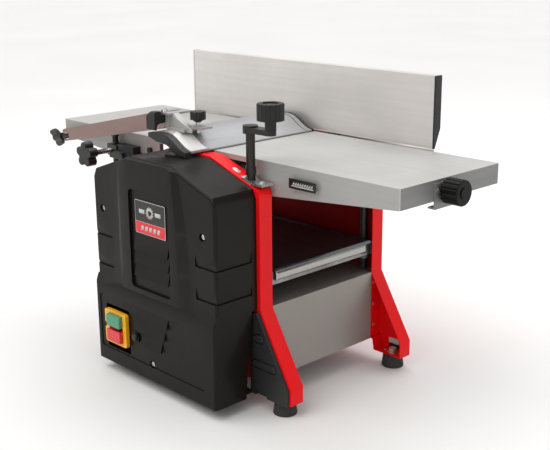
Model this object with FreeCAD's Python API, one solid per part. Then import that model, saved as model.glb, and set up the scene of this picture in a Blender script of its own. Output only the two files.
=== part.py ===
import FreeCAD, Part
import math
import os

# Combined bench planer and thicknesser, 8 inch class. Millimetres, +Z up, origin on the bench plane
# midway between the four feet. +X is the infeed end, -Y is the operator's side.

# Tables and cutter
TABLE_END = 368.5
TABLE_HALF_WIDTH = 105.0
TABLE_TOP = 355.0
TABLE_PLATE = 7.5
TABLE_LIP = 24.0
SKIRT_START = 104.0
CUTTER_Z = 330.0
CUTTER_R = 24.2
KNIFE_TIP_R = 25.0
BODY_HALF_LENGTH = 102.0
DEPTH_AXIS_Y = -18.0
DEPTH_AXIS_Z = 340.0
DEPTH_TRAVEL = 3.0

# Pressed steel side panels
PANEL_FACE = 130.6
PANEL_EDGE = 107.0
SHEET = 1.6
PANEL_X = 146.5
KNEE_Z = 147.0
LEG_X = 206.7
LEG_BOTTOM = 20.0
WAIST_Z = 37.7
PANEL_TOP = 353.0

# Thickness bed and its four screws
BED_TOP = 200.8
BED_X = 140.0
BED_Y = 102.0
SCREW_X = 118.0
SCREW_Y = 119.3
SCREW_R = 6.0
CHAIN_Z = 139.0

# Feed rollers and gear train
ROLLER_X = 52.0
ROLLER_Z = 317.0
ROLLER_R = 13.0
SPROCKET_R = 22.32
GEAR_R = 26.0
PINION_R = 8.0
GEAR_STEP = GEAR_R + PINION_R
GEAR_1 = (-0.6 * GEAR_STEP, CUTTER_Z - 0.8 * GEAR_STEP)
GEAR_2 = (GEAR_1[0] + 0.8 * GEAR_STEP, GEAR_1[1] - 0.6 * GEAR_STEP)
GEAR_3 = (GEAR_2[0] - 0.6 * GEAR_STEP, GEAR_2[1] - 0.8 * GEAR_STEP)
DRIVE_SPROCKET_R = 9.3

# Motor and belt
MOTOR_Z = 92.0
MOTOR_PULLEY_R = 16.25
CUTTER_PULLEY_R = 13.0
BELT_Y = -151.0

# Motor cover on the operator's side
COVER_X = 140.0
COVER_BACK = -131.3
COVER_FACE = -205.5
COVER_BLOCK = -210.0
COVER_FOOT = -211.5
COVER_WALL = 3.2
LEDGE_TOP = 155.0
LEDGE_BOTTOM = 139.5

# Fence
FENCE_FRONT = 112.5
FENCE_LEFT = -282.0
FENCE_RIGHT = 253.0
FENCE_BOTTOM = 356.5
FENCE_TOP = 461.0
FENCE_PIVOT = (117.6, 360.0)
LOCK_RADIUS = 45.3
LOCK_Y = FENCE_PIVOT[0] + LOCK_RADIUS * math.cos(math.radians(-11))
LOCK_Z = FENCE_PIVOT[1] + LOCK_RADIUS * math.sin(math.radians(-11))

# Guard
ARM_SLOPE = math.radians(11.4)
ARM_END = (-343.5, 334.4)
ARM_SCREW = -4.2
POST_X = -209.0
POST_Y = -113.5
GUARD_FRONT = -148.0
GUARD_REAR = 99.0
HEAD_PIVOT = (-70.0, 389.5)

CRANK_X = SCREW_X
CRANK_Y = -SCREW_Y

V = FreeCAD.Vector


def box(x0, x1, y0, y1, z0, z1):
    return Part.makeBox(x1 - x0, y1 - y0, z1 - z0, V(x0, y0, z0))


def rod_x(x0, x1, y, z, r):
    return Part.makeCylinder(r, x1 - x0, V(x0, y, z), V(1, 0, 0))


def rod_y(x, y0, y1, z, r):
    return Part.makeCylinder(r, y1 - y0, V(x, y0, z), V(0, 1, 0))


def rod_z(x, y, z0, z1, r):
    return Part.makeCylinder(r, z1 - z0, V(x, y, z0), V(0, 0, 1))


def prism_x(points, x0, x1):
    """Solid from an outline of (y, z) points, running along X."""
    wire = Part.makePolygon([V(x0, y, z) for y, z in points + points[:1]])
    return Part.Face(wire).extrude(V(x1 - x0, 0, 0))


def prism_y(points, y0, y1):
    """Solid from an outline of (x, z) points, running along Y."""
    wire = Part.makePolygon([V(x, y0, z) for x, z in points + points[:1]])
    return Part.Face(wire).extrude(V(0, y1 - y0, 0))


def prism_z(points, z0, z1):
    """Solid from an outline of (x, y) points, running along Z."""
    wire = Part.makePolygon([V(x, y, z0) for x, y in points + points[:1]])
    return Part.Face(wire).extrude(V(0, 0, z1 - z0))


def join(shapes):
    first = shapes[0]
    if len(shapes) == 1:
        return first
    return first.fuse(shapes[1:]).removeSplitter()


def group(shapes):
    return Part.makeCompound(shapes)


def fillet(shape, radius, wanted):
    """Round the edges whose middle point passes the test."""
    edges = [e for e in shape.Edges if wanted(e)]
    return shape.makeFillet(radius, edges)


def middle(edge):
    return edge.valueAt((edge.FirstParameter + edge.LastParameter) / 2)


def mirror_x(shape):
    return shape.mirror(V(0, 0, 0), V(1, 0, 0))


def mirror_y(shape):
    return shape.mirror(V(0, 0, 0), V(0, 1, 0))


def offset_outline(points, distance):
    """Outline moved inward by the distance, corners kept sharp. Points run anticlockwise."""
    moved = []
    count = len(points)
    for i in range(count):
        ax, az = points[i - 1]
        bx, bz = points[i]
        cx, cz = points[(i + 1) % count]
        l1 = math.hypot(bx - ax, bz - az)
        l2 = math.hypot(cx - bx, cz - bz)
        n1 = (-(bz - az) / l1, (bx - ax) / l1)
        n2 = (-(cz - bz) / l2, (cx - bx) / l2)
        scale = distance / (1 + n1[0] * n2[0] + n1[1] * n2[1])
        moved.append((bx + (n1[0] + n2[0]) * scale, bz + (n1[1] + n2[1]) * scale))
    return moved


def loop_band(circles, inner_gap, thickness, y0, y1):
    """Belt or chain round circles of (x, z, r), given anticlockwise, as a flat band along Y."""
    def hull(extra):
        discs = [rod_y(x, y0, y1, z, r + extra) for x, z, r in circles]
        fills = []
        for i in range(len(circles)):
            x1, z1, r1 = circles[i]
            x2, z2, r2 = circles[(i + 1) % len(circles)]
            r1 = r1 + extra
            r2 = r2 + extra
            length = math.hypot(x2 - x1, z2 - z1)
            lean = math.asin((r1 - r2) / length)
            heading = math.atan2(z2 - z1, x2 - x1)
            turn = heading - math.pi / 2 + lean
            nx, nz = math.cos(turn), math.sin(turn)
            fills.append(prism_y([(x1, z1), (x1 + nx * r1, z1 + nz * r1),
                                  (x2 + nx * r2, z2 + nz * r2), (x2, z2)], y0, y1))
        solid = join(discs + fills)
        if len(circles) > 2:
            solid = join([solid, prism_y([(x, z) for x, z, _ in circles], y0, y1)])
        return solid
    return hull(inner_gap + thickness).cut(hull(inner_gap))


def toothed_wheel(x, z, radius, teeth, y0, y1, depth):
    """Wheel with square teeth, drawn just inside its pitch circle so that meshing wheels stay clear."""
    wheel = rod_y(x, y0, y1, z, radius - 0.15)
    gap = math.pi * radius / teeth * 0.5
    cuts = []
    for i in range(teeth):
        notch = box(radius - depth, radius + 1, y0 - 1, y1 + 1, -gap, gap)
        notch.rotate(V(0, 0, 0), V(0, 1, 0), 360.0 * i / teeth)
        notch.translate(V(x, 0, z))
        cuts.append(notch)
    return wheel.cut(cuts)


def fluted_knob(radius, height, flutes, flute_r, sink):
    """Knob along +Z from the origin with scallops round its edge and a rounded top rim."""
    body = Part.makeCylinder(radius, height)
    body = fillet(body, 1.6, lambda e: abs(middle(e).z - height) < 0.01 and e.Length > radius)
    cuts = []
    for i in range(flutes):
        a = 2 * math.pi * i / flutes
        at = radius + flute_r - sink
        cuts.append(rod_z(at * math.cos(a), at * math.sin(a), -1, height + 1, flute_r))
    return body.cut(cuts)


def hex_head(x, y, z0, z1, across):
    r = across / math.sqrt(3)
    points = [(x + r * math.cos(math.radians(60 * i)), y + r * math.sin(math.radians(60 * i)))
              for i in range(6)]
    return prism_z(points, z0, z1)


def turned(shape, axis):
    """Turn a shape built along +Z so that it runs along the given axis name."""
    turns = {"+X": (V(0, 1, 0), 90), "-X": (V(0, 1, 0), -90),
             "+Y": (V(1, 0, 0), -90), "-Y": (V(1, 0, 0), 90)}
    about, angle = turns[axis]
    shape.rotate(V(0, 0, 0), about, angle)
    return shape


def moved(shape, x, y, z):
    shape.translate(V(x, y, z))
    return shape


# ---------------------------------------------------------------- frame

def panel_outline():
    half = [(LEG_X, LEG_BOTTOM), (LEG_X, 45), (PANEL_X, KNEE_Z), (PANEL_X, 312), (143, 319),
            (45, PANEL_TOP)]
    left = [(-x, z) for x, z in reversed(half)]
    foot = [(-153, LEG_BOTTOM), (-150, WAIST_Z), (150, WAIST_Z), (153, LEG_BOTTOM)]
    return half + left + foot


def foot_places():
    return [(sx * 182.7, sy * 118.8) for sx in (1, -1) for sy in (1, -1)]


def side_panel(rear):
    outline = panel_outline()
    pan = prism_y(outline, PANEL_EDGE, PANEL_FACE)
    pan = pan.cut(prism_y(offset_outline(outline, SHEET), PANEL_EDGE - 1, PANEL_FACE - SHEET))
    cuts = [rod_y(0, 120, 140, CUTTER_Z, 9.5)]
    for sx in (1, -1):
        cuts.append(rod_z(sx * SCREW_X, SCREW_Y, 300, 345, 8.0))
        cuts.append(rod_z(sx * 182.7, 118.8, 15, 25, 3.25))
    if rear:
        cuts += [rod_y(sx * ROLLER_X, 120, 140, ROLLER_Z, 8) for sx in (1, -1)]
    else:
        cuts.append(rod_y(0, 120, 140, MOTOR_Z, 14))
    pan = pan.cut(cuts)
    strips = [box(x0, x0 + 1.55, PANEL_EDGE, PANEL_FACE - 1, WAIST_Z, KNEE_Z + 1) for x0 in (-146.5, 144.95)]
    pan = join([pan] + strips)
    return pan if rear else mirror_y(pan)


def base_tray():
    inner = PANEL_FACE - SHEET - 0.1
    parts = [box(-144.8, 144.8, -inner, inner, 39.4, 41.0)]
    for sx in (1, -1):
        panel = box(144.9, 146.4, -106.4, 106.4, WAIST_Z, 148.0)
        lip = box(131, 145, -106.4, 106.4, 146.5, 148.0)
        tabs = [box(143.3, 144.9, 95, inner, 40, 146.4), box(143.3, 144.9, -inner, -95, 40, 146.4)]
        foot = box(143.3, 145, -106.4, 106.4, 39.4, 41.0)
        side = join([panel, lip, foot] + tabs)
        parts.append(side if sx > 0 else mirror_x(side))
    deck = box(-143.2, 143.2, -inner, inner, 144.8, 146.4)
    holes = [rod_z(sx * SCREW_X, sy * SCREW_Y, 140, 150, SCREW_R + 0.08)
             for sx in (1, -1) for sy in (1, -1)]
    parts.append(deck.cut(holes))
    tray = join(parts)
    return tray.cut(rod_x(-150, -140, -62, 72, 6.0))


def feet():
    made = []
    for x, y in foot_places():
        pad = Part.makeCone(17.5, 15.0, LEG_BOTTOM, V(x, y, 0))
        pad = fillet(pad, 1.5, lambda e: abs(middle(e).z) < 0.01 and e.Length > 60)
        made.append(pad.cut(rod_z(x, y, -1, LEG_BOTTOM + 1, 3.25)))
    return group(made)


def cover_outline():
    right = [(COVER_X, 18), (COVER_X, 308), (134, 320.2), (47.5, 350.5)]
    return right + [(-x, z) for x, z in reversed(right)]


def cover_block():
    """Raised middle of the cover front, its sides sloped and the right one swept outward."""
    wide = [(90, 149), (88, 200), (82, 260), (66, 342.5), (49, 349), (-49, 349), (-80, 337), (-82, 149)]
    thin = [(60.5, 149), (61, 200), (61, 256), (53, 345.5), (46, 348), (-48, 348), (-66, 340.5), (-67, 149)]
    wires = []
    for points, y in ((wide, COVER_FACE + 0.4), (thin, COVER_BLOCK)):
        wires.append(Part.makePolygon([V(x, y, z) for x, z in points + points[:1]]))
    return Part.makeLoft(wires, True, True)


def cover_grip(z0, z1):
    """Wrap-round finger grips at both front corners: flush at the top, sunk at the bottom."""
    def ring(inset, z):
        x = COVER_X - inset
        y = COVER_FACE + inset
        return Part.makePolygon([V(x, y, z), V(x, -100, z), V(-x, -100, z), V(-x, y, z), V(x, y, z)])
    core = Part.makeLoft([ring(2.2, z0), ring(-0.05, z1)], True, True)
    right = box(97, 150, -215, -140, z0, z1).cut(core)
    return [right, mirror_x(right)]


def rounded_window(x0, x1, z0, z1, y0, y1, r):
    plate = box(x0, x1, y0, y1, z0, z1)
    return fillet(plate, r, lambda e: abs(e.Length - (y1 - y0)) < 0.01
                  and abs(e.tangentAt(e.FirstParameter).y) > 0.9)


def scoop(x0, x1, top, face, drop):
    """Louvre that leans outward to its lower edge."""
    return prism_x([(face + 0.3, top), (face, top), (face - 4.3, top - drop), (face - 2.6, top - drop),
                    (face + 0.3, top - 6.5)], x0, x1)


def scoop_slot(x0, x1, top, face, drop):
    return box(x0 + 1.5, x1 - 1.5, face - 0.2, face + 6, top - drop + 1.5, top - 8)


COVER_SCREWS = [(-118.7, 261.0, COVER_FACE), (112.6, 262.4, COVER_FACE), (-3.5, 44.0, COVER_FOOT)]
UPPER_SCOOPS = [(-37.5, 40.5, 232.5), (-38.0, 41.0, 212.5), (-38.5, 40.5, 192.5)]
LOWER_SCOOPS = [(-37.0, 38.0, 126.0), (-34.0, 31.0, 106.0), (-17.0, 23.0, 86.5)]
RESET_X = -40.6
RESET_Z = 77.7


def motor_cover():
    body = prism_y(cover_outline(), COVER_FACE, COVER_BACK)
    body = fillet(body, 5.0, lambda e: abs(middle(e).y - COVER_FACE) < 0.01 and middle(e).z > 19)
    foot = prism_x([(COVER_BACK, 18), (COVER_FOOT, 18), (COVER_FOOT, LEDGE_BOTTOM),
                    (COVER_FACE + 0.3, LEDGE_TOP), (COVER_BACK, LEDGE_TOP)], -COVER_X, COVER_X)
    foot = fillet(foot, 4.0, lambda e: abs(abs(middle(e).x) - COVER_X) < 0.01
                  and abs(middle(e).y - COVER_FOOT) < 0.01)
    body = join([body, foot, cover_block()])
    body = body.cut(rounded_window(-46, 46, 157, 305, COVER_BLOCK - 2, -206.0, 7.0))
    body = body.cut(rounded_window(-130, 118, 40, 127, COVER_FOOT - 2, COVER_FOOT + 1.2, 5.0))
    inner = prism_y(offset_outline(cover_outline(), COVER_WALL), COVER_FACE + COVER_WALL, COVER_BACK + 1)
    inner = join([inner, box(-COVER_X + 3.2, COVER_X - 3.2, COVER_FOOT + 4.4, COVER_FACE + 8, 21.2, 137)])
    body = body.cut(inner)
    pocket = box(-118, -54, COVER_FOOT + 3, -196.5, 40.5, 116)
    bosses = [rod_y(x, face + 1, face + 9, z, 8.0) for x, z, face in COVER_SCREWS]
    body = join([body, pocket] + bosses)
    body = body.cut(rounded_window(-115, -57, 43.5, 113, COVER_FOOT - 2, -199.0, 2.5))
    cuts = []
    for x0, x1, top in UPPER_SCOOPS:
        cuts.append(scoop_slot(x0, x1, top, -206.0, 17))
    for x0, x1, top in LOWER_SCOOPS:
        cuts.append(scoop_slot(x0, x1, top, COVER_FOOT + 1.2, 17))
    for x, z, face in COVER_SCREWS:
        cuts.append(rod_y(x, face - 2, face + 5.0, z, 5.7))
        cuts.append(rod_y(x, face, face + 10, z, 2.1))
    cuts += cover_grip(218, 236) + cover_grip(171, 190)
    for sx in (1, -1):
        heel = prism_x([(COVER_BACK + 1, 148), (-141, 147), (-155, 15), (COVER_BACK + 1, 15)], 130, 145)
        cuts.append(heel if sx > 0 else mirror_x(heel))
    cuts.append(rod_y(RESET_X, -215, -200, RESET_Z, 6.3))
    body = body.cut(cuts)
    adds = [scoop(x0, x1, top, -206.0, 17) for x0, x1, top in UPPER_SCOOPS]
    adds += [scoop(x0, x1, top, COVER_FOOT + 1.2, 17) for x0, x1, top in LOWER_SCOOPS]
    collar = rod_y(RESET_X, COVER_FOOT - 1.6, COVER_FOOT + 4, RESET_Z, 9.0)
    adds.append(collar.cut(rod_y(RESET_X, -220, -200, RESET_Z, 6.3)))
    return join([body] + adds)


def cover_badge():
    plate = rounded_window(-33.5, 36.0, 242.0, 291.0, -207.2, -206.0, 1.5)
    return plate


def leg_covers():
    sheet = prism_y([(203.0, LEG_BOTTOM), (203.0, 43.8), (144.0, 144.0), (130.6, 141.5), (130.6, LEG_BOTTOM)],
                    -137.0, -130.8)
    cuts = [box(141, 164, -140, -132.5, 15, 28.5)]
    for x0, x1, z in ((138, 159, 107.0), (134, 183, 68.0)):
        slot = rounded_window(x0, x1, z - 7, z + 7, -140, -134.6, 6.6)
        cuts.append(slot)
    sheet = sheet.cut(cuts)
    return group([sheet, mirror_x(sheet)])


def rear_cover():
    outline = [(88, 236), (88, 334), (75, 347), (-75, 347), (-88, 334), (-88, 236), (-76, 224), (76, 224)]
    shell = prism_y(outline, 131.2, 174)
    shell = fillet(shell, 5, lambda e: abs(middle(e).y - 174) < 0.01)
    shell = shell.cut(prism_y(offset_outline(outline, 2.6), 130, 171.4))
    slots = [box(-30 + 12 * i, -24 + 12 * i, 168, 176, 244, 262) for i in range(5)]
    return shell.cut(slots)


def switch_body():
    frame = box(-108, -60, -211.0, -199.0, 57, 105)
    return frame.cut(box(-101, -66.5, -212, -204, 59.5, 104))


def switch_frame():
    plate = rounded_window(-111, -58, 54.5, 107.5, -217.0, -211.0, 4)
    notch = rod_y(-111, -218, -210, 81.5, 4)
    return plate.cut([box(-100.6, -66.4, -218, -210, 59.6, 103.4), notch])


def button(z0, z1):
    key = rounded_window(-100.2, -66.8, z0, z1, -223.0, -208.0, 3.0)
    return fillet(key, 1.2, lambda e: abs(middle(e).y + 223.0) < 0.01)


def reset_button():
    pin = rod_y(RESET_X, -216.5, -201.5, RESET_Z, 6.0)
    pin = fillet(pin, 2.5, lambda e: abs(middle(e).y + 216.5) < 0.01 and e.Length > 20)
    flange = rod_y(RESET_X, -203.4, -201.5, RESET_Z, 7.5)
    return join([pin, flange])


def cable_gland():
    nut = turned(hex_head(0, 0, 0, 7, 18), "-X")
    moved(nut, -146.6, -62, 72)
    stem = rod_x(-158, -141, -62, 72, 5.9)
    dome = rod_x(-163, -153.6, -62, 72, 7.8)
    ring = rod_x(-143.2, -140.0, -62, 72, 9.0)
    return join([nut, stem, dome, ring]).cut(rod_x(-170, -130, -62, 72, 3.6))


def pins_and_bolts():
    made = []
    for sy in (1, -1):
        for x in (80, 100):
            made.append(rod_y(x, min(sy * 104, sy * 129), max(sy * 104, sy * 129), 312.5, 4.0))
        for x in (-104, -96):
            low = PANEL_FACE if sy > 0 else -PANEL_FACE - 3
            made.append(rod_y(x, low, low + 3, 312.5, 4.5))
    made.append(rod_y(-97.0, -97.5, 97.5, 324.5, 3.5))
    for x, z in (GEAR_1, GEAR_2, GEAR_3):
        made.append(rod_y(x, PANEL_FACE, 168.5, z, 3.9))
    for x, z, face in COVER_SCREWS:
        head = rod_y(x, face + 2.6, face + 4.9, z, 3.7)
        head = head.cut([box(x - 2.6, x + 2.6, face - 1, face + 3.6, z - 0.5, z + 0.5),
                         box(x - 0.5, x + 0.5, face - 1, face + 3.6, z - 2.6, z + 2.6)])
        made.append(join([head, rod_y(x, face + 4.8, face + 9.5, z, 2.0)]))
    for sx in (1, -1):
        for x in (168, 197):
            for sy in (1, -1):
                made.append(rod_z(sx * x, sy * 118.8, LEG_BOTTOM + 1.7, LEG_BOTTOM + 3.4, 3.0))
        for z in (60, 95, 130):
            for sy in (1, -1):
                x0 = 146.6 if sx > 0 else -148.0
                made.append(rod_x(x0, x0 + 1.4, sy * 112.5, z, 3.0))
    for x in (-180, -158):
        made.append(moved(turned(hex_head(0, 0, 0, 4.5, 10), "-Y"), x, -121.6, 319.0))
    made.append(moved(turned(hex_head(0, 0, 0, 4.0, 9), "-Y"), -127.5, -TABLE_HALF_WIDTH - 0.1, 333.5))
    return group(made)


# ---------------------------------------------------------------- tables

def table_half():
    """Infeed-side table casting, standing on +X."""
    w = TABLE_HALF_WIDTH
    plate = box(TABLE_LIP, TABLE_END, -w, w, TABLE_TOP - TABLE_PLATE, TABLE_TOP)
    lip = prism_y([(TABLE_LIP - 1, TABLE_TOP - 3.5), (TABLE_LIP - 1, 340), (44, 340), (44, 347.4)],
                  -w - 1, w + 1)
    plate = plate.cut(lip)
    skirt = [(SKIRT_START, 348), (SKIRT_START, 306), (148, 307.8), (TABLE_END, 327.3), (TABLE_END, 348)]
    parts = [plate, prism_y(skirt, -w, -w + 7), prism_y(skirt, w - 7, w)]
    parts.append(box(TABLE_END - 7, TABLE_END, -w, w, 327.3, 348))
    for x in (165, 232, 299):
        parts.append(box(x, x + 5, -w + 2, w - 2, 333, 348))
    for y in (-55, 50):
        parts.append(box(SKIRT_START + 8, TABLE_END - 2, y, y + 5, 339, 348))
    table = join(parts)
    return fillet(table, 2.5, lambda e: abs(abs(middle(e).y) - w) < 0.01
                  and abs(middle(e).x - TABLE_END) < 0.01 and abs(e.tangentAt(e.FirstParameter).z) > 0.9)


def outfeed_table():
    table = mirror_x(table_half())
    lugs = [box(-112, -70, 104.5, 128.9, 304, 321), box(-112, -70, -128.9, -104.5, 304, 321)]
    return join([table] + lugs)


def infeed_table():
    table = table_half()
    parts = [table]
    cuts = [rod_x(150, 380, DEPTH_AXIS_Y, DEPTH_AXIS_Z, 4.08)]
    for sy in (1, -1):
        lug = box(70, 112, 104.5, 110.6, 304, 321)
        for x in (80, 100):
            slot = join([rod_y(x, 100, 115, 312.45, 4.08), rod_y(x, 100, 115, 315.6, 4.08),
                         box(x - 4.08, x + 4.08, 100, 115, 312.45, 315.6)])
            lug = lug.cut(slot)
        parts.append(lug if sy > 0 else mirror_y(lug))
    return join(parts).cut(cuts)


def infeed_bracket():
    plate = box(TABLE_END + 0.1, TABLE_END + 2.6, -38, 2, 317, 351)
    shelf = box(TABLE_END - 9, TABLE_END + 2.6, -38, -12, 317, 319.2)
    plate = join([plate, shelf])
    plate = plate.cut(rod_x(360, 380, DEPTH_AXIS_Y, DEPTH_AXIS_Z, 4.3))
    screws = [rod_x(TABLE_END + 2.6, TABLE_END + 4.4, y, 349 - 7, 2.6) for y in (-34, -2)]
    return group([plate] + screws)


def depth_knob():
    knob = moved(turned(fluted_knob(17, 25, 16, 2.2, 1.1), "+X"), 375.5, DEPTH_AXIS_Y, DEPTH_AXIS_Z)
    shaft = rod_x(93, 376, DEPTH_AXIS_Y, DEPTH_AXIS_Z, 4.0)
    journal = rod_x(82.5, 93.5, DEPTH_AXIS_Y, DEPTH_AXIS_Z - DEPTH_TRAVEL / 2, 3.2)
    collar = rod_x(371.6, 375.6, DEPTH_AXIS_Y, DEPTH_AXIS_Z, 10.5)
    hub = rod_x(400.0, 401.6, DEPTH_AXIS_Y, DEPTH_AXIS_Z, 7.5)
    return join([knob, shaft, journal, collar, hub])


def depth_crossbar():
    """Fixed bar whose slot carries the eccentric end of the planing-depth shaft."""
    bar = join([box(84, 92, -97, 97, 330.5, 344.0), box(84, 92, -128.9, -90, 322.5, 333),
                box(84, 92, 90, 128.9, 322.5, 333)])
    slot = box(80, 95, DEPTH_AXIS_Y - 5.2, DEPTH_AXIS_Y + 5.2, 334.8, 342.2)
    return bar.cut(slot)


# ---------------------------------------------------------------- fence

def fence():
    f = FENCE_FRONT
    profile = [(f, FENCE_BOTTOM), (f, FENCE_TOP), (f + 14, FENCE_TOP), (f + 14, 385), (f + 2.5, FENCE_BOTTOM)]
    bar = prism_x(profile, FENCE_LEFT + 3, FENCE_RIGHT - 3)
    hollow = [(f + 3, 388), (f + 3, FENCE_TOP - 3), (f + 11, FENCE_TOP - 3), (f + 11, 388)]
    bar = bar.cut(prism_x(hollow, FENCE_LEFT, FENCE_RIGHT))
    notches = [box(x - 4.4, x + 4.4, f - 1, f + 20, FENCE_BOTTOM - 1, 368.5) for x in (-120, 60)]
    bar = bar.cut([n.cut(box(-400, 400, f - 2, f + 1.2, 300, 400)) for n in notches])
    return bar


def fence_caps():
    f = FENCE_FRONT
    profile = [(f, FENCE_BOTTOM), (f, FENCE_TOP), (f + 14, FENCE_TOP), (f + 14, 385), (f + 2.5, FENCE_BOTTOM)]
    plug = [(f + 3.2, 392), (f + 3.2, FENCE_TOP - 3.2), (f + 10.8, FENCE_TOP - 3.2), (f + 10.8, 392)]
    right = join([prism_x(profile, FENCE_RIGHT - 3, FENCE_RIGHT),
                  prism_x(plug, FENCE_RIGHT - 15, FENCE_RIGHT - 2)])
    left = join([prism_x(profile, FENCE_LEFT, FENCE_LEFT + 3),
                 prism_x(plug, FENCE_LEFT + 2, FENCE_LEFT + 15)])
    return group([right, left])


def fence_bracket():
    """Two hinge ears with their pins, and the plate that carries the tilt clamp."""
    made = []
    py, pz = FENCE_PIVOT
    for x in (-120, 60):
        side = [(py - 2.5, pz - 0.5), (py + 3, pz + 2.5), (127, 353.2), (127, 353.0), (113.2, 353.0)]
        ear = join([prism_x(side, x - 4, x + 4), rod_x(x - 4, x + 4, py, pz, 3.6)])
        base = box(x - 12, x + 12, 110, 130, 353.0, 355.2)
        made.append(join([ear, base]))
    plate = box(-140, -136, 130.6, 168, 333, 357)
    foot = box(-140, -118, 130.6, 133.6, 326, 345)
    plate = join([plate, foot]).cut(rod_x(-150, -130, LOCK_Y, LOCK_Z, 4.2))
    made.append(plate)
    return group(made)


def fence_quadrant():
    """Tilt quadrant on the fence back; its arc slot is centred on the hinge axis."""
    py, pz = FENCE_PIVOT

    def sector(r0, r1, a0, a1):
        steps = [a0 + (a1 - a0) * i / 2.0 for i in range(3)]
        pts = [V(-135.4, py + r * math.cos(math.radians(a)), pz + r * math.sin(math.radians(a)))
               for r in (r0, r1) for a in steps]
        edges = [Part.Arc(pts[0], pts[1], pts[2]).toShape(), Part.makeLine(pts[2], pts[5]),
                 Part.Arc(pts[5], pts[4], pts[3]).toShape(), Part.makeLine(pts[3], pts[0])]
        return Part.Face(Part.Wire(edges)).extrude(V(4, 0, 0))

    plate = sector(37.5, 53.5, -18, 60)
    slot = sector(41.0, 49.6, -11, 34)
    slot = join([slot,
                 rod_x(-135.4, -131.4, LOCK_Y,
                       LOCK_Z, 4.3),
                 rod_x(-135.4, -131.4, py + LOCK_RADIUS * math.cos(math.radians(34)),
                       pz + LOCK_RADIUS * math.sin(math.radians(34)), 4.3)])
    plate = plate.cut(slot)
    tie = box(-135.4, -131.4, FENCE_FRONT + 14.1, 142, 391, 405)
    pad = box(-135.4, -112, FENCE_FRONT + 14.1, FENCE_FRONT + 17.5, 388, 408)
    return join([plate, tie, pad])


def fence_lock_lever():
    stem = rod_x(-146, -129.5, LOCK_Y, LOCK_Z, 4.0)
    head = rod_x(-131.0, -121, LOCK_Y, LOCK_Z, 8.5)
    arm = box(-126, -121.5, LOCK_Y, 192, LOCK_Z - 4.8, LOCK_Z + 4.8)
    arm = join([arm, Part.makeSphere(6.5, V(-123.8, 194, LOCK_Z))])
    nut = moved(turned(hex_head(0, 0, 0, 6, 13), "-X"), -140.4, LOCK_Y, LOCK_Z)
    return join([stem, head, arm, nut])


# ---------------------------------------------------------------- guard

def guard_bracket():
    base = box(-216, -149, -121.5, -105.1, 312, 326)
    top = box(-196, -154, -119.5, -105.1, 325.5, 336)
    clamp = box(-222, -196, -121.5, -105.1, 316, 334)
    body = join([base, top, clamp])
    body = fillet(body, 1.2, lambda e: abs(middle(e).y + 121.5) < 0.01 and e.Length > 10)
    return body.cut([rod_z(POST_X, POST_Y, 300, 345, 5.08), rod_y(POST_X, -125, POST_Y, 325.0, 4.3)])


def guard_post():
    rod = rod_z(POST_X, POST_Y, 300, 347.5, 5.0)
    tongue = box(POST_X - 4.5, POST_X + 4.5, -118.0, -109.5, 346.5, 371)
    return join([rod, tongue])


def along_arm(shape):
    """Lay a shape drawn along +X from the origin onto the sloping arm."""
    shape.rotate(V(0, 0, 0), V(0, 1, 0), -math.degrees(ARM_SLOPE))
    shape.translate(V(ARM_END[0], 0, ARM_END[1]))
    return shape


def guard_arm():
    """Tapered bar, hollow behind; its end is slotted for the collar of the lock knob."""
    outline = [(0, -12.2), (278, -12.2), (294, -6), (294, -3), (281, 6.5), (256, 13.6), (6, 8.4), (0, 7)]
    bar = prism_y(outline, -126.0, -118.1)
    channel = prism_y([(24, -8.2), (274, -8.2), (284, -4), (274, 3.2), (254, 9.4), (24, 4.8)], -124.0, -118.0)
    slot = box(-1, 17, -127, -117.5, ARM_SCREW - 5, ARM_SCREW + 5)
    bar = bar.cut([channel, slot, rod_x(-1, 25, -121.0, ARM_SCREW, 2.98)])
    bar = along_arm(bar)
    post_pad = box(POST_X - 8, POST_X + 8, -124.1, -118.0, 353, 369)
    head_pad = rod_y(HEAD_PIVOT[0], -126.0, -118.1, HEAD_PIVOT[1], 9.0)
    bar = join([bar, post_pad, head_pad])
    return bar.cut(rod_y(HEAD_PIVOT[0], -130, -110, HEAD_PIVOT[1], 4.08))


def arm_lock_knob():
    """Wing knob on the arm's end; its long screw runs inside the arm to the post."""
    hub = rod_x(-34, -8, -121.0, 0, 6.8)
    hub = fillet(hub, 2.0, lambda e: abs(middle(e).x + 34) < 0.01)
    collar = rod_x(-8.2, 16.5, -121.0, 0, 4.2)
    screw = rod_x(16, 124, -121.0, 0, 2.9)

    def outer_edge(e):
        return abs(middle(e).z) > 6 and abs(e.tangentAt(e.FirstParameter).y) > 0.9

    wings = []
    for sz in (1, -1):
        wing = prism_y([(-14, sz * 2), (-19, sz * 12), (-24, sz * 15), (-34, sz * 15), (-37, sz * 11),
                        (-33, sz * 2)], -124.5, -117.5)
        wings.append(fillet(wing, 1.6, outer_edge))
    knob = join([hub, collar, screw] + wings)
    knob.rotate(V(0, -121, 0), V(1, 0, 0), 22)
    knob.translate(V(0, 0, ARM_SCREW))
    return along_arm(knob)


def post_lock_knob():
    lobes = []
    for i in range(5):
        a = 2 * math.pi * i / 5 + 0.3
        lobes.append(Part.makeCylinder(7.2, 15, V(13 * math.cos(a), 13 * math.sin(a), 0)))
    head = join([Part.makeCylinder(13.5, 15)] + lobes)
    head = fillet(head, 1.5, lambda e: abs(middle(e).z - 15) < 0.01)
    head = join([head, Part.makeCylinder(8.0, 5, V(0, 0, -5))])
    head = moved(turned(head, "-Y"), POST_X, -160.5, 325.0)
    shaft = rod_y(POST_X, -161, -118.8, 325.0, 4.2)
    return join([head, shaft])


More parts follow.
